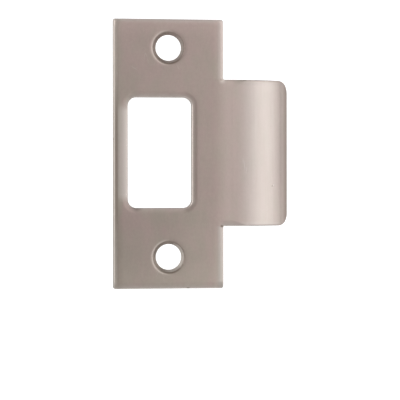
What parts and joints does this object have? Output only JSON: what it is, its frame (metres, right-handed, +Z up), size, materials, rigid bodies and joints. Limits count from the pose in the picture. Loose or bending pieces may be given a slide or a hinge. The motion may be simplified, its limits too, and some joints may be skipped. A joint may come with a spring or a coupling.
{
  "type": "door strike plate",
  "caption": "Flat strike plate with a rounded latch opening, countersunk screw holes and a wide curved lip that guides a spring latch into the jamb.",
  "frame": {"origin": "midway between the two screw holes, on the back face that seats on the jamb", "axes": "+Z up the jamb along the plate's long side, +X across the plate towards the curved lip, +Y into the jamb, square to the back face"},
  "size_m": [0.0466, 0.0066, 0.0698],
  "materials": {
    "satin_nickel": "warm satin nickel plate on stamped steel, matt, with faint blotches and a few fine scratches"
  },
  "bodies": {
    "root": {"strike_plate": "satin_nickel"}
  },
  "joints": []
}
